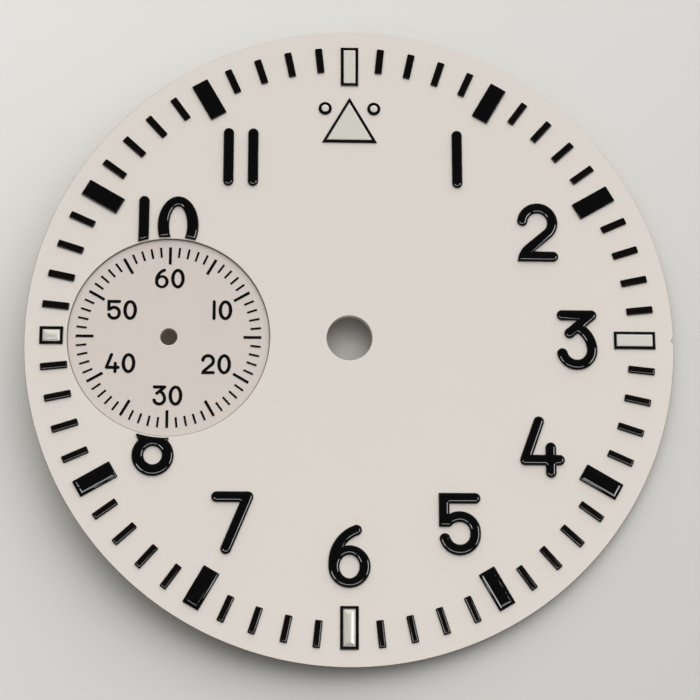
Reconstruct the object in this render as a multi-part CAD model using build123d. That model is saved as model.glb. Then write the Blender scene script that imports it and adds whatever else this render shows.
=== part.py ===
from build123d import *
from dataclasses import dataclass
import math
import os

# A dial for a hand-wound watch movement, with small seconds at nine o'clock.
# All lengths are in millimetres. The origin is on the axis of the centre hole, in the back
# face that lies on the movement. +X points to three o'clock, +Y to twelve, +Z out of the face.
# Clock angles are in degrees, clockwise from twelve.

# Holes for the movement: the hands' centre hole, and the small seconds on the nine o'clock side
centre_hole_diameter = 2.76
seconds_offset = 10.82
seconds_hole_diameter = 1.03
cut_overrun = 1.0

# Small seconds: an opening in the blank, over a separate disc let into the back
seconds_opening_diameter = 12.06
seconds_disc_thickness = 0.2
seconds_ledge = 0.6
seconds_seat_clearance = 0.03

# Chapter ring: its minute marks start just outside the small seconds, and all marks end on one circle
minute_mark_length = 1.6
minute_mark_width = 0.43
minute_mark_height = 0.16
minute_mark_bevel = 0.07
opening_to_marks = 0.03
hour_block_length = 2.44
hour_block_width = 1.05
hour_block_height = 0.2
hour_block_bevel = 0.1

# Framed hour marks at the quarters. The one at nine is shortened by the small seconds.
hour_frame_length = 2.5
hour_frame_width = 1.07
opening_to_frame = 0.24
frame_line = 0.165
frame_height = 0.1

# Luminous fill, poured inside each frame
fill_height = 0.16
fill_bevel = 0.05
fill_clearance = 0.01

# Blank: its rim lies a margin outside the chapter ring
track_margin = 1.02
plate_thickness = 0.5
rim_bevel = 0.1

# Locating notch in the rim at three o'clock
notch_depth = 0.19
notch_width = 0.46
notch_tip_round = 0.05
notch_mouth_round = 0.2

# Dial feet, butted to the back on a small weld flange
foot_diameter = 0.9
foot_length = 1.5
foot_flange_diameter = 1.5
foot_flange_thickness = 0.12
foot_tip_chamfer = 0.15
foot_to_rim = 2.5
foot_degrees = {"dial_foot_1": 25, "dial_foot_2": 205}

# Triangle under the framed mark at twelve, with a dot on each side of its point
triangle_side = 3.36
triangle_to_frame = 0.77
dot_radius = 0.4
dot_spread = 1.5
dot_drop = 0.71

# Hour numerals, on a circle inside the hour blocks
numeral_height = 3.66
numeral_width = 2.45
numeral_stroke = 0.61
numeral_relief = 0.2
numeral_bevel = 0.11
numeral_to_blocks = 1.11
numeral_degrees = {1: 30.3, 2: 59.7, 3: 90, 4: 119.7, 5: 149.8, 6: 180, 7: 211.7, 11: 329.5}
numeral_radius_shares = {1: 1.0, 2: 1.015, 3: 1.047, 4: 1.008, 5: 0.986, 6: 0.998, 7: 1.0, 11: 1.0}

# Eight and ten stand at the small seconds and are cut short a margin outside its opening
eight_to_opening = 0.6
eight_degrees = 186.8
ten_to_opening = 0.86
ten_degrees = 3.6
opening_margin = 0.13

# Small-seconds scale, printed flat on the disc
scale_to_opening = 0.5
scale_long_length = 1.05
scale_long_width = 0.155
scale_short_length = 0.61
scale_short_width = 0.11
print_height = 0.03
seconds_numeral_height = 1.2
seconds_numeral_width = 0.8
seconds_numeral_stroke = 0.17
seconds_numeral_to_scale = 0.58
seconds_numeral_radius_shares = {10: 1.01, 20: 1.0, 30: 1.085, 40: 0.99, 50: 0.985, 60: 1.09}

# Shares of the pen's reach to the side and rise up or down that place the strokes of a digit
two_leg_share = 0.78
three_bar_start_share = -0.94
three_stub_shares = (-0.46, 0.27)
three_bowl_top_shares = (0.1, 0.5)
four_top_share = -0.17
four_bar_share = -0.515
four_stem_shares = (0.5, -0.03)
four_width_share = 1.08
five_foot_share = 0.646
five_side_share = 0.208
five_shoulder_shares = (-0.95, -0.547)
six_tail_share = 0.45
six_side_share = 0.15
six_hole_shares = (0.97, 1.13)
seven_foot_share = -0.37
eight_lower_share = 0.669
eight_upper_shares = (0.82, 0.549)
eight_waist_share = 1.16
eight_side_share = 1.1
zero_side_share = 1.1
ten_pitch_share = 0.565
eleven_pitch_share = 0.41
pair_pitch_share = 0.8

# Angles at which the curved strokes start and how far they turn
two_hook_degrees = (173, -223)
three_bowl_turn_degrees = -166
five_bowl_degrees = -164

# A bevel takes no more than this share of the height or the half width that it cuts into
bevel_limit_share = 0.9

# Divisions of the dial
hours_round = 12
marks_round = 60
hours_per_quarter = hours_round // 4
marks_per_hour = marks_round // hours_round
seconds_hour = 3 * hours_per_quarter
hour_step = 360 / hours_round
mark_step = 360 / marks_round

# Levels and radii that follow from the sizes above
face_level = plate_thickness
disc_level = seconds_disc_thickness
seconds_axis = Pos(-seconds_offset, 0)
seconds_opening_radius = seconds_opening_diameter / 2
seconds_reach = seconds_offset + seconds_opening_radius
track_outer_radius = seconds_reach + opening_to_marks + minute_mark_length
plate_diameter = 2 * (track_outer_radius + track_margin)
foot_circle_radius = plate_diameter / 2 - foot_to_rim
numeral_circle_radius = track_outer_radius - hour_block_length - numeral_to_blocks - numeral_height / 2
triangle_tip_radius = track_outer_radius - hour_frame_length - triangle_to_frame
scale_outer_radius = seconds_opening_radius - scale_to_opening
scale_inner_radius = scale_outer_radius - scale_long_length
seconds_numeral_circle_radius = scale_inner_radius - seconds_numeral_to_scale - seconds_numeral_height / 2


def on_clock(radius, degrees, level=0):
    """Place on the dial at a clock angle, with its own Y axis pointing outwards."""
    angle = math.radians(degrees)
    return Pos(radius * math.sin(angle), radius * math.cos(angle), level) * Rot(0, 0, -degrees)


def upright(radius, degrees, level=0):
    """Place on the dial at a clock angle that stays upright, as the numerals do."""
    angle = math.radians(degrees)
    return Pos(radius * math.sin(angle), radius * math.cos(angle), level)


def raised(outline, height, bevel, narrowest):
    """Stand an outline up from its seat and bevel its top edge, as thick lacquer dries."""
    body = extrude(outline, height)
    limit = bevel_limit_share * min(height, narrowest / 2)
    return chamfer(body.edges().group_by(Axis.Z)[-1], min(bevel, limit))


# Digits

@dataclass(frozen=True)
class Lettering:
    """Digits drawn with a round pen: their height, width and stroke."""

    height: float
    width: float
    stroke: float

    @property
    def reach(self):
        """From the middle of a digit to the centre of the pen at its side."""
        return (self.width - self.stroke) / 2

    @property
    def rise(self):
        """From the middle of a digit to the centre of the pen at its top."""
        return (self.height - self.stroke) / 2

    def at(self, across, up):
        """Point in shares of the reach and the rise."""
        return (across * self.reach, up * self.rise)

    def wider(self, share):
        """The same lettering with another width."""
        return Lettering(self.height, self.width * share, self.stroke)

    def pen(self, *path):
        """Stroke of even width with round ends along an open path."""
        border = offset(Wire(list(path)), amount=self.stroke / 2, side=Side.BOTH)
        return make_face(border.edges())

    def bar(self, left, level):
        """Bar cut square at the left and round at the right, its centre line at one level."""
        length = self.reach - left
        bar = Pos(left + length / 2, level) * Rectangle(length, self.stroke)
        return bar + Pos(self.reach, level) * Circle(self.stroke / 2)

    def ring_centre(self):
        """Centre of a full-width ring that stands on the foot of the digit."""
        return (0, (self.width - self.height) / 2)

    def one(self):
        """Plain upright bar."""
        return self.pen(Line(self.at(0, -1), self.at(0, 1)))

    def two(self):
        """Round hook that runs in an S down to a sharp corner, on a bar with a round end."""
        hook = CenterArc((0, self.rise - self.reach), self.reach, *two_hook_degrees)
        slope = hook % 1
        knee = hook @ 1 + slope * (two_leg_share * self.reach * 2)
        swing = TangentArc(knee, (-self.reach, -(self.height + self.stroke) / 2), tangent=slope)
        body = self.pen(hook, Line(hook @ 1, knee), swing)
        body += self.bar(-self.reach, -self.rise)
        return body - Pos(0, -self.height / 2 - self.stroke) * Rectangle(2 * self.width, 2 * self.stroke)

    def three(self):
        """Flat top with a slanting stroke that overshoots the bowl as a short stub."""
        corner = self.at(1, 1)
        top = self.pen(
            Line(self.at(three_bar_start_share, 1), corner),
            Line(corner, self.at(*three_stub_shares)),
        )
        side = (self.reach, self.reach - self.rise)
        bowl = self.pen(
            TangentArc(side, self.at(*three_bowl_top_shares), tangent=(0, 1)),
            CenterArc((0, side[1]), self.reach, 0, three_bowl_turn_degrees),
        )
        return top + bowl

    def four(self):
        """Open four: a slanting stroke, a bar and a short stem that crosses the bar."""
        wide = self.wider(four_width_share)
        corner = wide.at(-1, four_bar_share)
        arm = wide.pen(
            Line(wide.at(four_top_share, 1), corner),
            Line(corner, wide.at(1, four_bar_share)),
        )
        across, top = four_stem_shares
        return arm + wide.pen(Line(wide.at(across, top), wide.at(across, -1)))

    def five(self):
        """Square-cut top and stem over a tall open bowl."""
        low = self.reach - self.rise
        high = low + five_side_share * self.stroke
        crown = high + self.reach
        across, down = five_shoulder_shares
        bowl = self.pen(
            CenterArc((0, low), self.reach, five_bowl_degrees, -five_bowl_degrees),
            Line((self.reach, low), (self.reach, high)),
            CenterArc((0, high), self.reach, 0, 90),
            TangentArc((0, crown), (across * self.reach, crown + down * self.reach), tangent=(-1, 0)),
        )
        left, foot = -self.width / 2, crown - five_foot_share * self.reach
        stem_length = self.height / 2 - foot
        stem = Pos(left + self.stroke / 2, foot + stem_length / 2) * Rectangle(self.stroke, stem_length)
        gap = Pos(left / 2, foot - self.stroke / 4) * Rectangle(-left, self.stroke / 2)
        return stem + self.bar(left, self.rise) + bowl - gap

    def six(self):
        """Ring with a tail that sweeps up from its left side to a round end."""
        x, y = self.ring_centre()
        across, up = six_hole_shares
        inner = self.width / 2 - self.stroke
        ring = Circle(self.width / 2) - Ellipse(across * inner, up * inner)
        side = (-self.reach, y + six_side_share * self.rise)
        tail = self.pen(
            Line((-self.reach, y), side),
            TangentArc(side, self.at(six_tail_share, 1), tangent=(0, 1)),
        )
        return Pos(x, y) * ring + tail - Pos(x, y) * Ellipse(across * inner, up * inner)

    def seven(self):
        """Flat top with a straight slanting leg."""
        corner = self.at(1, 1)
        return self.pen(Line(self.at(-1, 1), corner), Line(corner, self.at(seven_foot_share, -1)))

    def eight(self):
        """Full-width ring with a smaller ring on it, joined by a heavy waist."""
        across, up = eight_upper_shares
        wide, tall = self.width / 2, eight_lower_share * self.height / 2
        top_wide, top_tall = across * self.width / 2, up * self.height / 2
        lower, upper = Pos(0, tall - self.height / 2), Pos(0, self.height / 2 - top_tall)
        side, waist = eight_side_share * self.stroke, eight_waist_share * self.stroke
        body = lower * Ellipse(wide, tall) + upper * Ellipse(top_wide, top_tall)
        body -= lower * Ellipse(wide - side, tall - side)
        return body - upper * Ellipse(top_wide - waist, top_tall - waist)

    def zero(self):
        """Tall oval ring, a little heavier at the sides."""
        inner = Ellipse(self.width / 2 - zero_side_share * self.stroke, self.height / 2 - self.stroke)
        return Ellipse(self.width / 2, self.height / 2) - inner

    def ten(self):
        """A one beside a zero, with the zero at the origin."""
        return self.zero() + Pos(-ten_pitch_share * self.height, 0) * self.one()

    def eleven(self):
        """Two plain bars."""
        half = eleven_pitch_share * self.height / 2
        return Pos(-half, 0) * self.one() + Pos(half, 0) * self.one()

    def tens(self, digit):
        """A digit before a zero, centred as a pair."""
        half = pair_pitch_share * self.height / 2
        if digit is Lettering.one:
            return Pos(half, 0) * self.ten()
        return Pos(-half, 0) * digit(self) + Pos(half, 0) * self.zero()


# Blank, seconds disc and feet

def notch_outline():
    """Rounded V that is cut from the rim, pointing at the centre from three o'clock."""
    tip = plate_diameter / 2 - notch_depth
    spread = notch_width / 2 / notch_depth
    back = notch_depth + cut_overrun
    corners = ((tip, 0), (tip + back, spread * back), (tip + back, -spread * back))
    vee = make_face(Polyline(*corners, close=True))
    return fillet(vee.vertices().sort_by(Axis.X)[0], notch_tip_round)


def dial_plate():
    """Blank with its centre hole, its notch, the seconds opening and the seat for the seconds disc."""
    outline = Circle(plate_diameter / 2) - notch_outline()
    outline = fillet(outline.vertices().sort_by(Axis.X)[-2:], notch_mouth_round)
    blank = extrude(outline, plate_thickness)
    blank = chamfer(blank.edges().group_by(Axis.Z)[-1], min(rim_bevel, bevel_limit_share * plate_thickness))
    depth = plate_thickness + cut_overrun
    blank -= Cylinder(centre_hole_diameter / 2, 2 * depth)
    blank -= seconds_axis * Cylinder(seconds_opening_radius, 2 * depth)
    seat_radius = seconds_opening_radius + seconds_ledge
    return blank - seconds_axis * Cylinder(seat_radius, 2 * seconds_disc_thickness)


def seconds_disc():
    """Disc behind the opening, flush with the back, with the hole for the seconds pivot."""
    radius = seconds_opening_radius + seconds_ledge - seconds_seat_clearance
    return seconds_axis * extrude(Circle(radius) - Circle(seconds_hole_diameter / 2), seconds_disc_thickness)


def dial_foot():
    """Pin that hangs from its weld flange, with a chamfered tip, its seat at the origin."""
    flange = extrude(Circle(foot_flange_diameter / 2), -foot_flange_thickness)
    pin = extrude(Circle(foot_diameter / 2), -foot_length)
    foot = flange + pin
    return chamfer(foot.edges().group_by(Axis.Z)[0], foot_tip_chamfer)


# Chapter ring

def minute_mark():
    """Bar of lacquer with bevelled long edges, lying along Y and centred on its seat."""
    section = Pos(0, minute_mark_height / 2) * Rectangle(minute_mark_width, minute_mark_height)
    limit = bevel_limit_share * min(minute_mark_height, minute_mark_width / 2)
    section = chamfer(section.vertices().group_by(Axis.Y)[-1], min(minute_mark_bevel, limit))
    return extrude(Plane.XZ * section, minute_mark_length / 2, both=True)


def minute_marks(quarter):
    """The twelve marks between two framed hour marks."""
    centre_radius = track_outer_radius - minute_mark_length / 2
    first = quarter * hours_per_quarter * marks_per_hour
    minutes = range(first, first + hours_per_quarter * marks_per_hour)
    places = [on_clock(centre_radius, m * mark_step, face_level) for m in minutes if m % marks_per_hour]
    return [place * minute_mark() for place in places]


def hour_block(hour):
    """Broad black block at an hour."""
    outline = Rectangle(hour_block_width, hour_block_length)
    block = raised(outline, hour_block_height, hour_block_bevel, hour_block_width)
    return on_clock(track_outer_radius - hour_block_length / 2, hour * hour_step, face_level) * block


# Frames and what fills them

def framed(outline, narrowest):
    """Frame of an outline, and the fill that its inside holds."""
    inside = offset(outline, amount=-frame_line, kind=Kind.INTERSECTION)
    rim = extrude(outline - inside, frame_height)
    pool = offset(inside, amount=-fill_clearance, kind=Kind.INTERSECTION)
    pool_width = narrowest - 2 * (frame_line + fill_clearance)
    return rim, raised(pool, fill_height, fill_bevel, pool_width)


def hour_frame(hour):
    """Framed mark at a quarter hour, as its frame and its fill."""
    shortened = track_outer_radius - seconds_reach - opening_to_frame
    length = shortened if hour == seconds_hour else hour_frame_length
    seat = on_clock(track_outer_radius - length / 2, hour * hour_step, face_level)
    return [seat * piece for piece in framed(Rectangle(hour_frame_width, length), hour_frame_width)]


def triangle():
    """Frame and fill of the equal-sided triangle that points outwards at twelve."""
    tip, half = triangle_tip_radius, triangle_side / 2
    base = tip - half * math.sqrt(3)
    outline = make_face(Polyline((-half, base), (half, base), (0, tip), close=True))
    inscribed_diameter = triangle_side / math.sqrt(3)
    return [Pos(0, 0, face_level) * piece for piece in framed(outline, inscribed_diameter)]


def dot(side):
    """Ring and fill of the dot on one side of the triangle."""
    seat = Pos(side * dot_spread, triangle_tip_radius - dot_drop, face_level)
    return [seat * piece for piece in framed(Circle(dot_radius), 2 * dot_radius)]


# Numerals

def seconds_clearing():
    """Cylinder round the seconds opening that no numeral reaches into."""
    height = face_level + numeral_relief + cut_overrun
    return seconds_axis * Cylinder(seconds_opening_radius + opening_margin, 2 * height)


def hour_numerals():
    """Raised numerals by hour, upright at their places."""
    letters = Lettering(numeral_height, numeral_width, numeral_stroke)
    outlines = {
        1: letters.one(), 2: letters.two(), 3: letters.three(), 4: letters.four(), 5: letters.five(),
        6: letters.six(), 7: letters.seven(), 8: letters.eight(), 10: letters.ten(), 11: letters.eleven(),
    }
    places = {
        hour: upright(numeral_circle_radius * numeral_radius_shares[hour], degrees, face_level)
        for hour, degrees in numeral_degrees.items()
    }
    places[8] = seconds_axis * upright(seconds_opening_radius + eight_to_opening, eight_degrees, face_level)
    places[10] = seconds_axis * upright(seconds_opening_radius + ten_to_opening, ten_degrees, face_level)
    numerals = {
        hour: places[hour] * raised(outline, numeral_relief, numeral_bevel, numeral_stroke)
        for hour, outline in outlines.items()
    }
    for hour in (8, 10):
        numerals[hour] -= seconds_clearing()
    return numerals


def scale_marks(long_marks):
    """Long or short marks of the seconds scale."""
    length, width = (
        (scale_long_length, scale_long_width) if long_marks else (scale_short_length, scale_short_width)
    )
    mark = extrude(Rectangle(width, length), print_height)
    seconds = [s for s in range(marks_round) if (s % marks_per_hour == 0) == long_marks]
    radius = scale_outer_radius - length / 2
    return [seconds_axis * on_clock(radius, s * mark_step, disc_level) * mark for s in seconds]


def seconds_numerals():
    """Flat printed tens of the seconds scale."""
    letters = Lettering(seconds_numeral_height, seconds_numeral_width, seconds_numeral_stroke)
    digits = {
        10: Lettering.one, 20: Lettering.two, 30: Lettering.three,
        40: Lettering.four, 50: Lettering.five, 60: Lettering.six,
    }
    numerals = {}
    for seconds, digit in digits.items():
        radius = seconds_numeral_circle_radius * seconds_numeral_radius_shares[seconds]
        seat = upright(radius, seconds * mark_step, disc_level)
        numerals[seconds] = seconds_axis * seat * extrude(letters.tens(digit), print_height)
    return numerals


# Every node of the dial

nodes = {"dial_plate": dial_plate(), "seconds_disc": seconds_disc()}
for name, degrees in foot_degrees.items():
    nodes[name] = on_clock(foot_circle_radius, degrees) * dial_foot()
for quarter in range(4):
    nodes[f"minute_marks_{quarter + 1}"] = minute_marks(quarter)
for hour in range(1, hours_round + 1):
    if hour % hours_per_quarter:
        nodes[f"hour_block_{hour}"] = hour_block(hour)
    else:
        nodes[f"hour_frame_{hour}"], nodes[f"hour_fill_{hour}"] = hour_frame(hour)
nodes["triangle_frame"], nodes["triangle_fill"] = triangle()
for side, name in ((-1, "left"), (1, "right")):
    nodes[f"dot_ring_{name}"], nodes[f"dot_fill_{name}"] = dot(side)
for hour, numeral in hour_numerals().items():
    nodes[f"numeral_{hour}"] = numeral
nodes["seconds_marks_long"] = scale_marks(True)
nodes["seconds_marks_short"] = scale_marks(False)
for seconds, numeral in seconds_numerals().items():
    nodes[f"seconds_numeral_{seconds}"] = numeral

os.makedirs("parts", exist_ok=True)
for name, shape in nodes.items():
    solids = shape if isinstance(shape, list) else [shape]
    pieces = [solid for piece in solids for solid in piece.solids()]
    export_step(pieces[0] if len(pieces) == 1 else Compound(children=pieces), f"parts/{name}.step")
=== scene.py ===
import logging
import math
from dataclasses import dataclass, field
from enum import Enum
from typing import Callable, ClassVar, Iterable

import bmesh
import bpy
from mathutils import Matrix, Vector


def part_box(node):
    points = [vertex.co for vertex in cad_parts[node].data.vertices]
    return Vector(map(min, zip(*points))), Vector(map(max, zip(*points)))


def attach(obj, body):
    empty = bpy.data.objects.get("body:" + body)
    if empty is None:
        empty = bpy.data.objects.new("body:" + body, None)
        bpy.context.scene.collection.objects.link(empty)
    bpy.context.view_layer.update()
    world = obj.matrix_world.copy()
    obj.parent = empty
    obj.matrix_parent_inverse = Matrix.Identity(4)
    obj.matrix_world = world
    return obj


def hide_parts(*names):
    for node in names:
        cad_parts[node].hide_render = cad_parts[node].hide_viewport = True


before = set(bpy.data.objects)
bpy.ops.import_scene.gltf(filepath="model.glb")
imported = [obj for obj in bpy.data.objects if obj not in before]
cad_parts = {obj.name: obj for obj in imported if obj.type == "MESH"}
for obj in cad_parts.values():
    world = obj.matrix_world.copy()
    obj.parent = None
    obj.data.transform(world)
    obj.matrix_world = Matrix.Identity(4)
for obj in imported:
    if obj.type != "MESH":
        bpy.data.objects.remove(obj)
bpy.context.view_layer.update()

# Looks of a lacquered watch dial with small seconds at nine o'clock. Meshes are shaped in
# millimetres and set down in metres, because the mesh operators lose their grip on smaller figures.

Colour = tuple[float, float, float, float]
Within = Callable[[bmesh.types.BMEdge], bool]
Step = tuple[float, float]

log = logging.getLogger("watch_dial")
BODY = "root"
METRES = 0.001
UP = Vector((0.0, 0.0, 1.0))

# Vertices nearer than this are one.
WELD = 0.0005
# Width of the level strip inside a finished dome, which keeps its shading off the fill.
FLAT_RING = 0.004
# A vertex inside a notch moves by at most this many widths of a strip.
LONGEST_MITRE = 1.15
# A strip whose far side is shorter than this share of its near side has shrunk to nothing.
SHRUNK = 0.003
# An outline that turns by more than this has a corner there.
SHARP_BEND = math.radians(35)
# Chords of one arc differ in length by less than this factor.
LIKE_LENGTHS = 1.7
# Edges round a softened corner.
CORNER_STEPS = 3
# The seconds disc's face and its print stand this much above the solid's, as the photograph shows.
DISC_LIFT = 0.17
# A face whose normal points down by more than this belongs to the back.
FACES_DOWN = -0.5
# Places of the back's finish and of the edges' finish, which carries painted shade, on a piece, after its
# face's own.
BACK_FINISH, SHADED_EDGE_FINISH = 1, 2

# Index of refraction of clear lacquer and paint binder.
BINDER_IOR = 1.5
# Octaves of a fine pattern.
FINE_DETAIL = 2.0
# Sockets of a colour mix.
FIRST_TONE, SECOND_TONE, MIXED_TONE = 6, 7, 2
# A wave texture of scale one runs through this angle in a unit of length.
WAVE_ANGLE = 20


class Slot(Enum):
    """Material slots of the record."""

    DIAL = "dial_lacquer"
    SECONDS = "seconds_lacquer"
    BLACK = "black_lacquer"
    LUMINOUS = "luminous_paint"
    INK = "scale_ink"
    FOOT = "foot_copper"


class Finish(Enum):
    """Finishes of the coats on the face."""

    RELIEF = "thick gloss lacquer"
    LINE = "thin gloss lacquer"
    DRY_PAINT = "matt luminous paint"
    WET_PAINT = "glossy luminous paint"
    INK = "printing ink"


# Colours and shader nodes

def linear(hex_colour: str) -> Colour:
    """Turn an sRGB hex colour to linear.

    Args:
        hex_colour: Six hex digits.

    Returns:
        Linear red, green and blue with an alpha of one.
    """
    parts = [int(hex_colour[i:i + 2], 16) / 255 for i in (0, 2, 4)]
    red, green, blue = (p / 12.92 if p <= 0.04045 else ((p + 0.055) / 1.055) ** 2.4 for p in parts)
    return red, green, blue, 1.0


def per_metre(size_mm: float) -> float:
    """Texture scale that repeats a pattern once in each size given in millimetres."""
    return 1 / (size_mm * METRES)


def add_node(tree: bpy.types.NodeTree, kind: str, settings: dict | None = None,
             links: dict | None = None) -> bpy.types.Node:
    """Add one node with its settings and its incoming links.

    Args:
        tree: Node tree that takes the node.
        kind: Blender's type name of the node.
        settings: Property names or input names with their values.
        links: Input names with the output sockets that feed them.

    Returns:
        The new node.
    """
    node = tree.nodes.new(kind)
    for name, value in (settings or {}).items():
        if name in node.inputs:
            node.inputs[name].default_value = value
        else:
            setattr(node, name, value)
    for name, source in (links or {}).items():
        tree.links.new(source, node.inputs[name])
    return node


def new_tree(name: str) -> tuple[bpy.types.Material, bpy.types.NodeTree, bpy.types.NodeSocket]:
    """Make a material whose node tree holds only the place on the piece.

    Args:
        name: Name of the material.

    Returns:
        The material, its tree and the socket that gives the place.
    """
    material = bpy.data.materials.new(name)
    material.use_nodes = True
    tree = material.node_tree
    tree.nodes.clear()
    return material, tree, add_node(tree, "ShaderNodeTexCoord").outputs["Object"]


def uneven_skin(tree: bpy.types.NodeTree, place: bpy.types.NodeSocket, size_mm: float,
                height_mm: float) -> tuple[bpy.types.NodeSocket, bpy.types.NodeSocket]:
    """Lay a fine random pattern over a surface and raise it.

    Args:
        tree: Node tree that takes the pattern.
        place: Socket that gives the place on the piece.
        size_mm: Size of the pattern's grains.
        height_mm: How high they stand.

    Returns:
        The pattern's own socket and the socket of the raised surface's normal.
    """
    grains = add_node(tree, "ShaderNodeTexNoise", {"Scale": per_metre(size_mm), "Detail": FINE_DETAIL},
                      {"Vector": place})
    bump = add_node(tree, "ShaderNodeBump", {"Distance": height_mm * METRES},
                    {"Height": grains.outputs["Fac"]})
    return grains.outputs["Fac"], bump.outputs["Normal"]


def surface(tree: bpy.types.NodeTree, settings: dict, links: dict) -> None:
    """Put a Principled shader and the output on a tree."""
    shader = add_node(tree, "ShaderNodeBsdfPrincipled", settings, links)
    add_node(tree, "ShaderNodeOutputMaterial", links={"Surface": shader.outputs["BSDF"]})


@dataclass(frozen=True)
class MattLacquer:
    """Sprayed matt lacquer on a metal blank: pale, even, with the fine grain of the spray.

    It scatters nearly all light, so it shows its colour and only a faint broad sheen.
    """

    name: str
    colour: str
    cloud_colour: str
    roughness: float = 0.62
    # Spray grain is near 0.03 mm, too fine to show, so it is drawn coarser.
    grain_mm: float = 0.09
    grain_height_mm: float = 0.0035
    cloud_mm: float = 7.0
    cloud_detail: float = 3.0

    def material(self) -> bpy.types.Material:
        """Raise the grain, over colour that drifts a little between two tones.

        Returns:
            The material.
        """
        material, tree, place = new_tree(self.name)
        clouds = add_node(tree, "ShaderNodeTexNoise",
                          {"Scale": per_metre(self.cloud_mm), "Detail": self.cloud_detail},
                          {"Vector": place})
        tone = add_node(tree, "ShaderNodeMix", {"data_type": "RGBA"}, {"Factor": clouds.outputs["Fac"]})
        tone.inputs[FIRST_TONE].default_value = linear(self.colour)
        tone.inputs[SECOND_TONE].default_value = linear(self.cloud_colour)
        _, normal = uneven_skin(tree, place, self.grain_mm, self.grain_height_mm)
        surface(tree, {"Roughness": self.roughness, "IOR": BINDER_IOR},
                {"Base Color": tone.outputs[MIXED_TONE], "Normal": normal})
        return material


@dataclass(frozen=True)
class GlossLacquer:
    """Gloss lacquer or ink laid on in relief: near black, wet-looking, with a slightly uneven skin.

    It mirrors a lamp as a narrow bright line along its shoulders and stays black elsewhere.
    """

    name: str
    colour: str
    roughness: float
    # Slow swells from drying.
    swell_mm: float = 0.7
    swell_height_mm: float = 0.012

    def material(self) -> bpy.types.Material:
        """Put a clear gloss over black, with the swells raised.

        Returns:
            The material.
        """
        material, tree, place = new_tree(self.name)
        _, normal = uneven_skin(tree, place, self.swell_mm, self.swell_height_mm)
        surface(tree, {"Base Color": linear(self.colour), "Roughness": self.roughness, "IOR": BINDER_IOR},
                {"Normal": normal})
        return material


@dataclass(frozen=True)
class LuminousPaint:
    """Luminous pigment in a clear binder, poured in a frame: a pale warm grey, faintly grainy.

    Dry, it looks chalky. Where the binder pooled, it looks wet and its slopes catch the light.
    """

    name: str
    colour: str
    speck_colour: str
    roughness: float = 0.35
    # Pigment specks are near 0.02 mm, too fine to show, so they are drawn coarser.
    speck_mm: float = 0.05
    speck_height_mm: float = 0.002

    def material(self) -> bpy.types.Material:
        """Mix pigment specks in two close tones, under the binder's own sheen.

        Returns:
            The material.
        """
        material, tree, place = new_tree(self.name)
        specks, normal = uneven_skin(tree, place, self.speck_mm, self.speck_height_mm)
        tone = add_node(tree, "ShaderNodeMix", {"data_type": "RGBA"}, {"Factor": specks})
        tone.inputs[FIRST_TONE].default_value = linear(self.colour)
        tone.inputs[SECOND_TONE].default_value = linear(self.speck_colour)
        surface(tree, {"Roughness": self.roughness, "IOR": BINDER_IOR},
                {"Base Color": tone.outputs[MIXED_TONE], "Normal": normal})
        return material


@dataclass(frozen=True)
class PaperWithPaintedFalloff:
    """Matt drawing paper with painted shade: its colour darkens a little towards five o'clock, where less
    of the room lights it.
    """

    name: str
    light_colour: str
    dark_colour: str
    roughness: float = 0.9
    turn_degrees: float = -38.0
    reach_mm: float = 30.0
    tooth_mm: float = 0.5
    tooth_height_mm: float = 0.002

    def material(self) -> bpy.types.Material:
        """Blend the painted light and shade across the paper, and raise its tooth.

        Returns:
            The material.
        """
        material, tree, place = new_tree(self.name)
        turn = (0.0, 0.0, math.radians(self.turn_degrees))
        turned = add_node(tree, "ShaderNodeMapping", {"Rotation": turn}, {"Vector": place})
        along = add_node(tree, "ShaderNodeSeparateXYZ", links={"Vector": turned.outputs["Vector"]})
        reach = self.reach_mm * METRES
        blend = add_node(tree, "ShaderNodeMapRange", {"From Min": reach, "From Max": -reach},
                         {"Value": along.outputs["Y"]})
        tone = add_node(tree, "ShaderNodeMix", {"data_type": "RGBA"}, {"Factor": blend.outputs["Result"]})
        tone.inputs[FIRST_TONE].default_value = linear(self.light_colour)
        tone.inputs[SECOND_TONE].default_value = linear(self.dark_colour)
        _, normal = uneven_skin(tree, place, self.tooth_mm, self.tooth_height_mm)
        surface(tree, {"Roughness": self.roughness},
                {"Base Color": tone.outputs[MIXED_TONE], "Normal": normal})
        return material


@dataclass(frozen=True)
class LatheTurnedMetal:
    """Bare metal faced on a lathe: bright, with fine rings round its axis that break up reflections."""

    name: str
    colour: str
    centre_mm: tuple[float, float]
    roughness: float = 0.3
    # The cutter's rings are near 0.1 mm apart, too fine to show, so they are drawn coarser.
    ring_mm: float = 0.754
    ring_height_mm: float = 0.0012
    ring_wander: float = 1.5

    def material(self) -> bpy.types.Material:
        """Raise the rings round the piece's own axis.

        Returns:
            The material.
        """
        material, tree, place = new_tree(self.name)
        x, y = self.centre_mm
        centred = add_node(tree, "ShaderNodeMapping", {"Location": (-x * METRES, -y * METRES, 0.0)},
                           {"Vector": place})
        scale = per_metre(self.ring_mm) * math.tau / WAVE_ANGLE
        rings = add_node(tree, "ShaderNodeTexWave",
                         {"wave_type": "RINGS", "rings_direction": "Z", "Scale": scale,
                          "Distortion": self.ring_wander, "Detail": FINE_DETAIL},
                         {"Vector": centred.outputs["Vector"]})
        bump = add_node(tree, "ShaderNodeBump", {"Distance": self.ring_height_mm * METRES},
                        {"Height": rings.outputs["Fac"]})
        surface(tree, {"Base Color": linear(self.colour), "Metallic": 1.0, "Roughness": self.roughness},
                {"Normal": bump.outputs["Normal"]})
        return material


# Mesh tools, in millimetres

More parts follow.
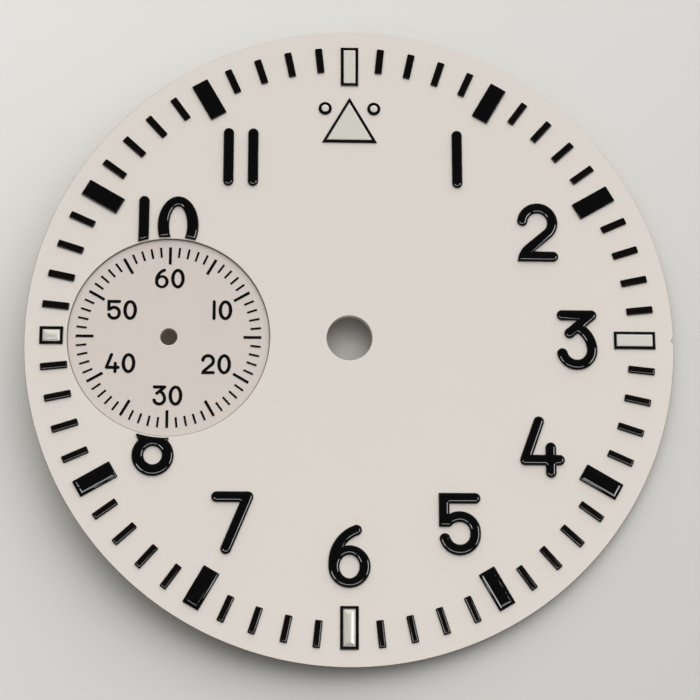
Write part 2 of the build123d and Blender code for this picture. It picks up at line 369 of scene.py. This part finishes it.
def finish_mesh(shape: bmesh.types.BMesh, name: str, sharp_degrees: float = 30.0) -> bpy.types.Object:
    """Turn a shape in millimetres to an object in metres, smooth but for its sharp edges.

    Args:
        shape: The shape, which is used up.
        name: Name of the new object.
        sharp_degrees: Edges that turn by more than this stay sharp.

    Returns:
        The object, linked to the scene at the origin.
    """
    bmesh.ops.recalc_face_normals(shape, faces=shape.faces)
    for face in shape.faces:
        face.smooth = True
    for edge in shape.edges:
        edge.smooth = len(edge.link_faces) == 2 and edge.calc_face_angle() < math.radians(sharp_degrees)
    bmesh.ops.scale(shape, vec=(METRES,) * 3, verts=shape.verts)
    mesh = bpy.data.meshes.new(name)
    shape.to_mesh(mesh)
    shape.free()
    piece = bpy.data.objects.new(name, mesh)
    bpy.context.scene.collection.objects.link(piece)
    return piece


def circle(shape: bmesh.types.BMesh, radius: float, centre: tuple[float, float], segments: int) -> None:
    """Add a circle of edges at the level of the back.

    Args:
        shape: Shape that takes the circle.
        radius: Radius in millimetres.
        centre: Centre across and up the dial.
        segments: Number of edges.
    """
    place = Matrix.Translation((*centre, 0.0))
    bmesh.ops.create_circle(shape, segments=segments, radius=radius, matrix=place)


def round_over(width: float, rise: float, steps: int, fullness: float = 2.0) -> list[Step]:
    """Steps in and up a quarter of an ellipse, or of a fuller oval, from upright to flat.

    Args:
        width: How far in the whole quarter goes.
        rise: How far up it goes.
        steps: Number of steps.
        fullness: Two for an ellipse, more for squarer shoulders, less for straighter slopes.

    Returns:
        Each step's way in and way up.
    """
    angles = [math.pi / 2 * i / steps for i in range(steps + 1)]
    across = [width * (1 - max(0.0, math.cos(a)) ** (2 / fullness)) for a in angles]
    up = [rise * math.sin(a) ** (2 / fullness) for a in angles]
    return [(x1 - x0, z1 - z0) for x0, x1, z0, z1 in zip(across, across[1:], up, up[1:])]


def turn_in(width: float, rise: float, steps: int) -> list[Step]:
    """Steps out and up a quarter of an ellipse, from flat to upright, as under a rounded lower edge."""
    return [(-across, up) for across, up in reversed(round_over(width, rise, steps))]


def seat_outline(node: str) -> bmesh.types.BMesh:
    """Edges round the seat of a CAD node, in millimetres, from a joined copy of its mesh.

    Args:
        node: Name of the CAD node.

    Returns:
        A shape that holds only those edges, at the height of the seat.
    """
    shape = bmesh.new()
    shape.from_mesh(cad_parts[node].data)
    bmesh.ops.scale(shape, vec=(1 / METRES,) * 3, verts=shape.verts)
    bmesh.ops.remove_doubles(shape, verts=shape.verts, dist=WELD)
    seat = min(vert.co.z for vert in shape.verts)
    raised = [face for face in shape.faces if any(vert.co.z > seat + WELD for vert in face.verts)]
    bmesh.ops.delete(shape, geom=raised, context="FACES")
    inner = [edge for edge in shape.edges if len(edge.link_faces) == 2]
    bmesh.ops.delete(shape, geom=list(shape.faces), context="FACES_ONLY")
    bmesh.ops.delete(shape, geom=inner, context="EDGES")
    return shape


def bend(before: bmesh.types.BMVert, middle: bmesh.types.BMVert, after: bmesh.types.BMVert) -> float:
    """Angle by which a path turns left at its middle vertex, in radians."""
    way_in, way_out = (middle.co - before.co).xy, (after.co - middle.co).xy
    return way_out.angle_signed(way_in, 0.0)


def soften_corners(shape: bmesh.types.BMesh, radius: float) -> None:
    """Round the sharp corners of an outline in plan, each for itself, as far as its own edges let it.

    Args:
        shape: Shape that holds only the outline.
        radius: Radius in millimetres.
    """
    corners = []
    for vert in shape.verts:
        before, after = (edge.other_vert(vert) for edge in vert.link_edges)
        if abs(bend(before, vert, after)) > SHARP_BEND:
            corners.append(vert)
    for corner in corners:
        bmesh.ops.bevel(shape, geom=[corner], offset=radius, offset_type="OFFSET", segments=CORNER_STEPS,
                        profile=0.5, affect="VERTICES", material=-1, clamp_overlap=True)
    bmesh.ops.remove_doubles(shape, verts=shape.verts, dist=WELD)


def refine_arcs(shape: bmesh.types.BMesh) -> None:
    """Halve each edge that is a chord of an arc, and put its middle out on the arc.

    Args:
        shape: Shape that holds only the outline.
    """
    middles = []
    for edge in shape.edges:
        first, last = edge.verts
        before, after = (next(e for e in vert.link_edges if e is not edge) for vert in (first, last))
        bends = (bend(before.other_vert(first), first, last), bend(first, last, after.other_vert(last)))
        shares = [near.calc_length() / edge.calc_length() for near in (before, after)]
        if bends[0] * bends[1] <= 0 or max(map(abs, bends)) > SHARP_BEND:
            continue
        if min(shares) < 1 / LIKE_LENGTHS:
            continue
        straight = [share > LIKE_LENGTHS for share in shares]
        off_chord = sum(angle if long else angle / 2 for angle, long in zip(bends, straight)) / 2
        way = (last.co - first.co).xy
        side = Vector((way.y, -way.x, 0.0))
        middles.append((edge, (first.co + last.co) / 2 + side * math.tan(off_chord / 2) / 2))
    for edge, place in middles:
        made = bmesh.ops.bisect_edges(shape, edges=[edge], cuts=1)["geom_split"]
        for vert in (item for item in made if isinstance(item, bmesh.types.BMVert)):
            vert.co = place


class Skin:
    """A skin that grows strip by strip from the outline of a flat seat, and is then closed over.

    Each strip goes some way in and some way up. Where a strip would cross itself, as inside a tight
    corner, the vertices that meet stay together from there on, and the edges between them are spent.
    Edges are kept in lists, so that their order, and with it the mesh, is the same in each run.
    """

    def __init__(self, shape: bmesh.types.BMesh) -> None:
        """Fill the seat inside a shape's edges.

        Args:
            shape: Shape that holds only the outline, in millimetres.
        """
        self.shape = shape
        self.spent: set[bmesh.types.BMEdge] = set()
        self.sides: dict[bmesh.types.BMEdge, Vector] = {}
        edges = list(shape.edges)
        bmesh.ops.triangle_fill(shape, edges=edges, use_beauty=True, normal=UP)
        for edge in edges:
            first, last = edge.verts
            across = next(vert for vert in edge.link_faces[0].verts if vert not in edge.verts)
            way = (last.co - first.co).xy
            side = Vector((-way.y, way.x)).normalized()
            self.sides[edge] = side if side.dot((across.co - first.co).xy) > 0 else -side

    def grow(self, steps: Iterable[Step], within: Within | None = None) -> None:
        """Grow a strip for each step.

        Args:
            steps: Each step's way in and way up.
            within: Test that picks the open edges to grow from, or None for all of them.
        """
        chosen = [edge for edge in self.sides if within is None or within(edge)]
        for inward, up in steps:
            chosen = self.strip(chosen, inward, up)

    def meeting(self, edges: list[bmesh.types.BMEdge]) -> dict[bmesh.types.BMVert, int]:
        """Number the groups of vertices that spent edges hold together.

        Args:
            edges: Edges whose vertices are looked at.

        Returns:
            Each vertex with the number of its group.
        """
        group: dict[bmesh.types.BMVert, int] = {}
        for number, start in enumerate(vert for edge in edges for vert in edge.verts):
            todo = [start]
            while todo:
                vert = todo.pop()
                if vert not in group:
                    group[vert] = number
                    todo += [edge.other_vert(vert) for edge in vert.link_edges if edge in self.spent]
        return group

    def strip(self, edges: list[bmesh.types.BMEdge], inward: float, up: float) -> list[bmesh.types.BMEdge]:
        """Grow one strip of faces from open edges.

        Args:
            edges: The open edges.
            inward: How far in the strip goes.
            up: How far up it goes.

        Returns:
            The strip's far edges.
        """
        group = self.meeting(edges)
        pulls: dict[int, list[tuple[Vector, Vector]]] = {}
        for edge in (edge for edge in edges if edge not in self.spent):
            for vert in edge.verts:
                away = (edge.other_vert(vert).co - vert.co).xy
                pulls.setdefault(group[vert], []).append((self.sides[edge], away))
        move = {number: self.mitre(*pull[0], pull[-1][0]) for number, pull in pulls.items()}
        made = bmesh.ops.extrude_edge_only(self.shape, edges=edges)["geom"]
        fresh = {item for item in made if isinstance(item, bmesh.types.BMVert)}
        twin: dict[bmesh.types.BMVert, bmesh.types.BMVert] = {}
        pairs = []
        for edge in edges:
            face = next(f for f in edge.link_faces if fresh.intersection(f.verts))
            pairs.append((edge, next(e for e in face.edges if fresh.issuperset(e.verts))))
            for link in face.edges:
                ends = sorted(link.verts, key=fresh.__contains__)
                if ends[1] in fresh and ends[0] not in fresh:
                    twin[ends[0]] = ends[1]
        for vert, number in group.items():
            step = move.get(number, Vector((0.0, 0.0))) * inward
            twin[vert].co = vert.co + Vector((step.x, step.y, up))
        for edge, far in pairs:
            self.sides[far] = self.sides.pop(edge)
            if edge in self.spent:
                self.spent.add(far)
        far_edges = [far for _, far in pairs]
        while crossed := {far for edge, far in pairs if far not in self.spent and self.turned(edge, twin)}:
            self.spent |= crossed
            self.join(far_edges)
        return far_edges

    @staticmethod
    def mitre(side: Vector, away: Vector, other_side: Vector) -> Vector:
        """Way of a vertex between two open edges, for a strip one wide.

        Args:
            side: Inward side of the first edge.
            away: Way along the first edge from the vertex.
            other_side: Inward side of the second edge.

        Returns:
            The way, held short where the edges part, as inside a notch.
        """
        way = (side + other_side) / (1 + side.dot(other_side))
        if other_side.dot(away) < 0 and way.length > LONGEST_MITRE:
            return way.normalized() * LONGEST_MITRE
        return way

    @staticmethod
    def turned(edge: bmesh.types.BMEdge, twin: dict[bmesh.types.BMVert, bmesh.types.BMVert]) -> bool:
        """Whether the far side of a strip runs against its near side, or has shrunk to nothing."""
        first, last = edge.verts
        return (last.co - first.co).dot(twin[last].co - twin[first].co) <= SHRUNK * edge.calc_length()

    def join(self, edges: list[bmesh.types.BMEdge]) -> None:
        """Bring the vertices that spent edges hold together to one place.

        Args:
            edges: Edges whose vertices are looked at.
        """
        groups: dict[int, list[bmesh.types.BMVert]] = {}
        for vert, number in self.meeting(edges).items():
            groups.setdefault(number, []).append(vert)
        for verts in groups.values():
            middle = sum((vert.co for vert in verts), Vector()) / len(verts)
            for vert in verts:
                vert.co = middle

    def close(self, name: str, sharp_degrees: float = 35.0) -> bpy.types.Object:
        """Join what has met, fill the top and make the piece.

        Args:
            name: Name of the new piece.
            sharp_degrees: Edges that turn by more than this stay sharp.

        Returns:
            The piece.
        """
        self.grow([(FLAT_RING, 0.0)])
        bmesh.ops.remove_doubles(self.shape, verts=self.shape.verts, dist=WELD)
        mouth = [edge for edge in self.shape.edges if edge.is_boundary]
        bmesh.ops.triangle_fill(self.shape, edges=mouth, use_beauty=True, normal=UP)
        return finish_mesh(self.shape, name, sharp_degrees)


@dataclass(frozen=True)
class Relief:
    """A coat that stands up from its seat and domes over from its edge, in millimetres.

    Its spread is how far it runs past its solid's outline, and its crease is the turn between two
    faces, in degrees, from which they meet in a crisp line.
    """

    height: float
    dome_width: float
    dome_rise: float
    fullness: float = 2.0
    corner_round: float = 0.04
    steps: int = 10
    lift: float = 0.0
    spread: float = 0.0
    crease_degrees: float = 12.5

    def build(self, node: str, name: str) -> bpy.types.Object:
        """Stand the coat on the outline of a CAD node.

        Args:
            node: CAD node whose seat is followed.
            name: Name of the new piece.

        Returns:
            The piece.
        """
        shape = seat_outline(node)
        bmesh.ops.translate(shape, vec=UP * self.lift, verts=shape.verts)
        soften_corners(shape, self.corner_round)
        refine_arcs(shape)
        skin = Skin(shape)
        if self.spread:
            skin.grow([(-self.spread, 0.0)])
        skin.grow([(0.0, self.height - self.dome_rise)])
        skin.grow(round_over(self.dome_width, self.dome_rise, self.steps, self.fullness))
        return skin.close(name, self.crease_degrees)


# The blank, the disc behind its opening and the feet

@dataclass
class DialBlank:
    """Lacquered blank with its holes, its rim notch and the seat for the seconds disc.

    Its rim lies a little to the right of its centre hole, as the photograph shows.
    """

    slot: ClassVar[Slot] = Slot.DIAL
    node: str = "dial_plate"
    centre_hole_radius: float = 1.38
    opening_radius: float = 6.03
    seat_level: float = 0.2
    seat_ledge: float = 0.6
    notch_depth: float = 0.19
    notch_half_width: float = 0.23
    # How far from its middle the notch runs out into the rim, in half widths.
    notch_reach: float = 3.0
    notch_cuts: int = 9
    notch_smoothings: int = 8
    notch_blend: float = 0.5
    rim_offset: float = 0.1
    rim_round: float = 0.045
    rim_steps: int = 4
    hole_round: float = 0.03
    mouth_round: float = 0.055
    hole_steps: int = 5
    back_round: float = 0.03
    back_steps: int = 3
    rim_segments: int = 540
    opening_segments: int = 240
    hole_segments: int = 96
    rim_margin: float = 1.0
    hole_margin: float = 0.1
    seat_margin: float = 0.01
    # A face that leans until its normal rises by less than this belongs to an edge, which is painted darker
    # as shade.
    shaded_edge_slope: float = 0.95
    radius: float = field(init=False)
    thickness: float = field(init=False)
    seconds_centre: tuple[float, float] = field(init=False)

    def __post_init__(self) -> None:
        """Take the sizes that the CAD gives."""
        low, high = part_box(self.node)
        self.radius = -low[0] / METRES
        self.thickness = high[2] / METRES
        low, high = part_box("seconds_disc")
        self.seconds_centre = ((low[0] + high[0]) / 2 / METRES, 0.0)

    def notched_rim(self, shape: bmesh.types.BMesh) -> None:
        """Add the rim's outline on the back, with its notch at three o'clock.

        Args:
            shape: Shape that takes the outline.
        """
        circle(shape, self.radius - self.back_round, (self.rim_offset, 0.0), self.rim_segments)
        reach = self.notch_reach * self.notch_half_width
        near = [e for e in shape.edges if all(v.co.x > 0 and abs(v.co.y) < reach for v in e.verts)]
        bmesh.ops.bisect_edges(shape, edges=near, cuts=self.notch_cuts)
        verts = [v for v in shape.verts if v.co.x > 0 and abs(v.co.y) < reach]
        for vert in verts:
            vert.co.x -= self.notch_depth * max(0.0, 1 - abs(vert.co.y) / self.notch_half_width)
        for _ in range(self.notch_smoothings):
            bmesh.ops.smooth_vert(shape, verts=verts, factor=self.notch_blend, use_axis_x=True,
                                  use_axis_y=True)

    def at_rim(self, edge: bmesh.types.BMEdge) -> bool:
        """Whether an edge is part of the rim."""
        return edge.verts[0].co.xy.length > self.radius - self.rim_margin

    def at_centre(self, edge: bmesh.types.BMEdge) -> bool:
        """Whether an edge is part of the centre hole."""
        return edge.verts[0].co.xy.length < self.centre_hole_radius + self.hole_margin

    def at_opening(self, edge: bmesh.types.BMEdge) -> bool:
        """Whether an edge is part of the seconds opening or its seat."""
        return not self.at_rim(edge) and not self.at_centre(edge)

    def build(self) -> bpy.types.Object:
        """Fill the back, grow the rim, the hole and the opening up from it, and close the face.

        Returns:
            The piece.
        """
        shape = bmesh.new()
        self.notched_rim(shape)
        circle(shape, self.centre_hole_radius, (0.0, 0.0), self.hole_segments)
        circle(shape, self.opening_radius + self.seat_ledge, self.seconds_centre, self.opening_segments)
        skin = Skin(shape)
        skin.grow(turn_in(self.back_round, self.back_round, self.back_steps)
                  + [(0.0, self.thickness - self.back_round - self.rim_round)]
                  + round_over(self.rim_round, self.rim_round, self.rim_steps), self.at_rim)
        skin.grow([(0.0, self.thickness - self.hole_round)]
                  + round_over(self.hole_round, self.hole_round, self.hole_steps), self.at_centre)
        skin.grow([(0.0, self.seat_level), (-self.seat_ledge, 0.0),
                   (0.0, self.thickness - self.seat_level - self.mouth_round)]
                  + round_over(self.mouth_round, self.mouth_round, self.hole_steps), self.at_opening)
        return skin.close("dial_blank")

    def dress(self, piece: bpy.types.Object) -> None:
        """Lacquer on the face, darker on its edges and walls, partly as thin lacquer and partly as painted
        shade, and bare turned brass behind.

        Args:
            piece: The blank.
        """
        # Edges and walls are painted darker, partly as lacquer drawn thin over an edge and partly as
        # painted shade: the fine dark line along the rim and along the opening's edge.
        finishes = (MattLacquer("matt_dial_lacquer", "DDD5CC", "DBD4CB"),
                    LatheTurnedMetal("turned_brass_back", "C9A968", (0.0, 0.0)),
                    MattLacquer("edge_lacquer_and_painted_shade", "8E847A", "8A8076"))
        for finish in finishes:
            piece.data.materials.append(finish.material())
        rim_centre = Vector((self.rim_offset, 0.0))
        for polygon in piece.data.polygons:
            place = polygon.center / METRES
            if place.xy.length < self.centre_hole_radius + self.hole_round:
                continue
            behind = polygon.normal.z < FACES_DOWN or place.z < self.seat_level + self.seat_margin
            in_rim = (place.xy - rim_centre).length < self.radius - self.notch_depth - self.back_round
            if behind and in_rim:
                polygon.material_index = BACK_FINISH
            # Walls and rounded edges take the darker finish, which is partly painted shade.
            elif polygon.normal.z < self.shaded_edge_slope:
                polygon.material_index = SHADED_EDGE_FINISH


@dataclass
class SecondsDisc:
    """Disc behind the opening, with the pivot's hole.

    Its face stands higher in the opening than the solid's, so that the recess shades it as in the
    photograph.
    """

    slot: ClassVar[Slot] = Slot.SECONDS
    node: str = "seconds_disc"
    hole_radius: float = 0.515
    mouth_round: float = 0.03
    mouth_steps: int = 4
    opening_radius: float = DialBlank.opening_radius
    opening_clearance: float = 0.02
    segments: int = 240
    hole_segments: int = 64
    radius: float = field(init=False)
    thickness: float = field(init=False)
    centre: tuple[float, float] = field(init=False)

    def __post_init__(self) -> None:
        """Take the sizes that the CAD gives."""
        low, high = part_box(self.node)
        self.radius = (high[0] - low[0]) / 2 / METRES
        self.thickness = high[2] / METRES
        self.centre = ((low[0] + high[0]) / 2 / METRES, 0.0)

    def at_rim(self, edge: bmesh.types.BMEdge) -> bool:
        """Whether an edge is part of the rim."""
        return (edge.verts[0].co.xy - Vector(self.centre)).length > 2 * self.hole_radius

    def at_hole(self, edge: bmesh.types.BMEdge) -> bool:
        """Whether an edge is part of the pivot's hole."""
        return not self.at_rim(edge)

    def build(self) -> bpy.types.Object:
        """Fill the back, grow the rim and the hole up from it, and close the face.

        Returns:
            The piece.
        """
        shape = bmesh.new()
        circle(shape, self.radius, self.centre, self.segments)
        circle(shape, self.hole_radius, self.centre, self.hole_segments)
        skin = Skin(shape)
        shoulder = self.radius - self.opening_radius + self.opening_clearance
        skin.grow([(0.0, self.thickness), (shoulder, 0.0), (0.0, DISC_LIFT)], self.at_rim)
        skin.grow([(0.0, self.thickness + DISC_LIFT - self.mouth_round)]
                  + round_over(self.mouth_round, self.mouth_round, self.mouth_steps), self.at_hole)
        return skin.close("seconds_disc_lacquered")

    def dress(self, piece: bpy.types.Object) -> None:
        """Lacquer on the face, bare turned brass behind.

        Args:
            piece: The disc.
        """
        finishes = (MattLacquer("matt_seconds_lacquer", "D3C9C0", "D1C8BF", grain_mm=0.07),
                    LatheTurnedMetal("turned_brass_disc", "C9A968", self.centre))
        for finish in finishes:
            piece.data.materials.append(finish.material())
        for polygon in piece.data.polygons:
            if polygon.normal.z < FACES_DOWN:
                polygon.material_index = BACK_FINISH


@dataclass
class DialFoot:
    """Copper pin on its weld flange, turned from one profile."""

    slot: ClassVar[Slot] = Slot.FOOT
    node: str
    pin_radius: float = 0.45
    flange_thickness: float = 0.12
    flange_round: float = 0.04
    tip_chamfer: float = 0.15
    segments: int = 64
    flange_radius: float = field(init=False)
    tip: float = field(init=False)
    centre: tuple[float, float] = field(init=False)

    def __post_init__(self) -> None:
        """Take the sizes that the CAD gives."""
        low, high = (Vector(corner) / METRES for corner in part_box(self.node))
        self.flange_radius = (high.x - low.x) / 2
        self.tip = low.z
        self.centre = tuple(((low + high) / 2).xy)

    def build(self) -> bpy.types.Object:
        """Spin the half profile once round the foot's axis.

        Returns:
            The piece.
        """
        profile = [
            (0.0, 0.0), (self.flange_radius, 0.0),
            (self.flange_radius, self.flange_round - self.flange_thickness),
            (self.flange_radius - self.flange_round, -self.flange_thickness),
            (self.pin_radius, -self.flange_thickness), (self.pin_radius, self.tip + self.tip_chamfer),
            (self.pin_radius - self.tip_chamfer, self.tip), (0.0, self.tip),
        ]
        x, y = self.centre
        shape = bmesh.new()
        verts = [shape.verts.new((x + across, y, level)) for across, level in profile]
        edges = [shape.edges.new(pair) for pair in zip(verts, verts[1:])]
        bmesh.ops.spin(shape, geom=verts + edges, cent=(x, y, 0.0), axis=UP, angle=math.tau,
                       steps=self.segments, use_merge=True)
        bmesh.ops.remove_doubles(shape, verts=shape.verts, dist=WELD)
        return finish_mesh(shape, f"{self.node}_turned")

    def dress(self, piece: bpy.types.Object) -> None:
        """Bare copper, dulled by handling."""
        copper = LatheTurnedMetal(f"{self.node}_copper", "B9764F", self.centre, roughness=0.38)
        piece.data.materials.append(copper.material())


# Coats laid on the face

@dataclass
class Coats:
    """Every piece that lacquer, paint or ink makes on the dial."""

    numeral: Relief = Relief(height=0.18, dome_width=0.24, dome_rise=0.17, spread=0.018)
    full_block: Relief = Relief(height=0.19, dome_width=0.42, dome_rise=0.18, corner_round=0.06,
                                spread=0.012)
    flat_block: Relief = Relief(height=0.1, dome_width=0.05, dome_rise=0.05, corner_round=0.06,
                                spread=0.012)
    full_minute: Relief = Relief(height=0.12, dome_width=0.17, dome_rise=0.11, corner_round=0.07,
                                 spread=0.01)
    flat_minute: Relief = Relief(height=0.08, dome_width=0.05, dome_rise=0.05, corner_round=0.07,
                                 spread=0.01)
    line: Relief = Relief(height=0.07, dome_width=0.05, dome_rise=0.05, corner_round=0.02, steps=4,
                          spread=0.012)
    level_pool: Relief = Relief(height=0.08, dome_width=0.1, dome_rise=0.03, corner_round=0.02)
    hipped_pool: Relief = Relief(height=0.14, dome_width=0.33, dome_rise=0.12, fullness=1.25,
                                 corner_round=0.02)
    ink: Relief = Relief(height=0.02, dome_width=0.02, dome_rise=0.012, corner_round=0.01, steps=3,
                         lift=DISC_LIFT, spread=0.011)
    hipped_fills: tuple[str, ...] = ("hour_fill_6", "hour_fill_9")
    flat_blocks: tuple[str, ...] = ("hour_block_1", "hour_block_2", "hour_block_10", "hour_block_11")
    flat_minutes: tuple[str, ...] = ("minute_marks_1", "minute_marks_4")

    def choice(self, node: str) -> tuple[Relief, Slot, Finish] | None:
        """Choose how a node is laid on.

        Args:
            node: Name of the CAD node.

        Returns:
            Its relief, slot and finish, or None where the node is no coat.
        """
        if node.startswith(("seconds_marks", "seconds_numeral")):
            return self.ink, Slot.INK, Finish.INK
        if node in self.hipped_fills:
            return self.hipped_pool, Slot.LUMINOUS, Finish.WET_PAINT
        if "_fill" in node:
            return self.level_pool, Slot.LUMINOUS, Finish.DRY_PAINT
        if "_frame" in node or "_ring" in node:
            return self.line, Slot.BLACK, Finish.LINE
        if node.startswith("numeral"):
            return self.numeral, Slot.BLACK, Finish.RELIEF
        if node.startswith("hour_block"):
            relief = self.flat_block if node in self.flat_blocks else self.full_block
            return relief, Slot.BLACK, Finish.RELIEF
        if node.startswith("minute_marks"):
            relief = self.flat_minute if node in self.flat_minutes else self.full_minute
            return relief, Slot.BLACK, Finish.LINE
        return None

    def materials(self) -> dict[Finish, bpy.types.Material]:
        """Make one material for each finish that a coat may have.

        Returns:
            Each finish with its material.
        """
        makers = {
            # Poured thick, so it is a clean black with the sharpest highlights.
            Finish.RELIEF: GlossLacquer("black_relief_lacquer", "070708", roughness=0.05),
            # Laid on thin, so it is a browner black and less even.
            Finish.LINE: GlossLacquer("brown_black_line_lacquer", "0B0706", roughness=0.12,
                                      swell_mm=0.3, swell_height_mm=0.004),
            # Dried with its pigment at the top, so it has no highlights.
            Finish.DRY_PAINT: LuminousPaint("dry_luminous_paint", "D8D4C9", "D1CEC4"),
            # Dried under its binder, so its slopes shine.
            Finish.WET_PAINT: LuminousPaint("glossy_luminous_paint", "D0CCC1", "CAC6BB", roughness=0.12),
            # Pad-printed in one thin coat, so it is satin and takes its shape from the pad.
            Finish.INK: GlossLacquer("scale_printing_ink", "060505", roughness=0.18, swell_mm=0.15,
                                     swell_height_mm=0.003),
        }
        return {finish: maker.material() for finish, maker in makers.items()}

    def lay(self) -> None:
        """Lay every coat on its node."""
        materials = self.materials()
        for node in sorted(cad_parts):
            choice = self.choice(node)
            if choice:
                relief, slot, finish = choice
                piece = relief.build(node, f"{node}_coat")
                piece.data.materials.append(materials[finish])
                add_piece(piece, slot, node)


# Camera, lamps and floor

@dataclass(frozen=True)
class Window:
    """Lamp that faces the middle of the dial and shows only in gloss.

    It has its place and its length across the dial in millimetres, and how bright it looks.
    """

    name: str
    place: tuple[float, float, float]
    length: float
    radiance: float
    height: float = 80.0

    def hang(self) -> None:
        """Put the lamp in its place."""
        data = bpy.data.lights.new(self.name, "AREA")
        data.shape = "RECTANGLE"
        data.size, data.size_y = self.length * METRES, self.height * METRES
        data.energy = self.radiance * math.pi * data.size * data.size_y
        lamp = bpy.data.objects.new(self.name, data)
        lamp.location = Vector(self.place) * METRES
        lamp.rotation_euler = (-Vector(self.place)).to_track_quat("-Z", "Y").to_euler()
        lamp.visible_diffuse = False
        bpy.context.scene.collection.objects.link(lamp)


@dataclass
class Studio:
    """Plain soft studio with the photograph's viewpoint, in millimetres.

    The windows only draw the highlights on the gloss. The room gives all other light.
    """

    eye: tuple[float, float, float] = (-4.43, -24.07, 106.51)
    aim: tuple[float, float, float] = (0.03, -0.74, 0.5)
    lens: float = 93.27
    sensor: float = 36.0
    clip: tuple[float, float] = (1.0, 10000.0)
    windows: tuple[Window, ...] = (
        Window("front_window", (15, -122, 273), 230, 6.0),
        Window("left_window", (-138, -66, 261), 80, 11.0),
        Window("right_window", (188, 0, 234), 140, 11.0),
    )
    room_turn_degrees: float = 14.0
    near_light: float = 0.27
    far_light: float = 3.55
    gloss_light: float = 0.05
    floor_size: float = 1500.0
    floor_thickness: float = 10.0
    foot_sink: float = 0.4
    contact_degrees: float = 330.0

    def camera(self) -> None:
        """Long lens above the dial, tilted a little from square."""
        data = bpy.data.cameras.new("camera")
        data.lens, data.sensor_width = self.lens, self.sensor
        data.clip_start, data.clip_end = (distance * METRES for distance in self.clip)
        camera = bpy.data.objects.new("camera", data)
        back = (Vector(self.eye) - Vector(self.aim)).normalized()
        right = Vector((0.0, 1.0, 0.0)).cross(back).normalized()
        camera.location = Vector(self.eye) * METRES
        camera.rotation_euler = Matrix((right, back.cross(right), back)).transposed().to_euler()
        bpy.context.scene.collection.objects.link(camera)
        bpy.context.scene.camera = camera

    def world(self) -> None:
        """A room lit from beyond half past twelve, dark in gloss, so that the black lacquer stays black."""
        world = bpy.data.worlds.new("room")
        bpy.context.scene.world = world
        world.use_nodes = True
        tree = world.node_tree
        tree.nodes.clear()
        way = add_node(tree, "ShaderNodeTexCoord").outputs["Generated"]
        turn = (0.0, 0.0, math.radians(self.room_turn_degrees))
        turned = add_node(tree, "ShaderNodeMapping", {"Rotation": turn}, {"Vector": way})
        across = add_node(tree, "ShaderNodeSeparateXYZ", links={"Vector": turned.outputs["Vector"]})
        room = add_node(tree, "ShaderNodeMapRange", {"To Min": self.near_light, "To Max": self.far_light},
                        {"Value": across.outputs["Y"]})
        ray = add_node(tree, "ShaderNodeLightPath").outputs["Is Glossy Ray"]
        strength = add_node(tree, "ShaderNodeMapRange", {"To Max": self.gloss_light},
                            {"Value": ray, "To Min": room.outputs["Result"]})
        light = add_node(tree, "ShaderNodeBackground", {"Color": linear("FFFFFF")},
                         {"Strength": strength.outputs["Result"]})
        add_node(tree, "ShaderNodeOutputWorld", links={"Surface": light.outputs["Background"]})

    def floor(self) -> None:
        """Soft pale paper under the dial, which tips over its feet, pressed in a little, onto its rim."""
        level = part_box("dial_foot_1")[0][2] / METRES + self.foot_sink
        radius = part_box("dial_plate")[1][1] / METRES
        angle = math.radians(self.contact_degrees)
        edge = Vector((math.cos(angle), math.sin(angle), 0.0)) * radius
        tilt = Vector((edge.x * level, edge.y * level, radius ** 2)).normalized()
        turn = UP.rotation_difference(tilt).to_matrix().to_4x4()
        slab = Matrix.Diagonal((self.floor_size, self.floor_size, self.floor_thickness, 1.0))
        down = Matrix.Translation((0.0, 0.0, -self.floor_thickness / 2))
        shape = bmesh.new()
        bmesh.ops.create_cube(shape, size=1.0, matrix=Matrix.Translation(edge) @ turn @ down @ slab)
        floor = finish_mesh(shape, "floor")
        # The paper's colour carries painted shade, darker towards five o'clock.
        floor.data.materials.append(PaperWithPaintedFalloff("floor_paper_with_painted_shade", "E3E2DD", "CBC9C5").material())

    def build(self) -> None:
        """Set up the camera, the windows, the room and the floor."""
        self.camera()
        for window in self.windows:
            window.hang()
        self.world()
        self.floor()


def add_piece(piece: bpy.types.Object, slot: Slot, *nodes: str) -> None:
    """Attach a finished piece to the body, hide the CAD nodes that it stands for, and log it.

    Args:
        piece: The finished piece.
        slot: The record's slot of its finish; not used.
        nodes: CAD nodes that it stands for.
    """
    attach(piece, BODY)
    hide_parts(*nodes)
    log.info("%s: %d faces", piece.name, len(piece.data.polygons))


def main() -> None:
    """Build the dial, then the studio."""
    logging.basicConfig(level=logging.INFO, format="%(name)s %(message)s")
    bpy.context.scene.view_settings.view_transform = "Standard"
    for part in (DialBlank(), SecondsDisc(), DialFoot("dial_foot_1"), DialFoot("dial_foot_2")):
        piece = part.build()
        part.dress(piece)
        add_piece(piece, part.slot, part.node)
    Coats().lay()
    Studio().build()


if __name__ == "__main__":
    main()
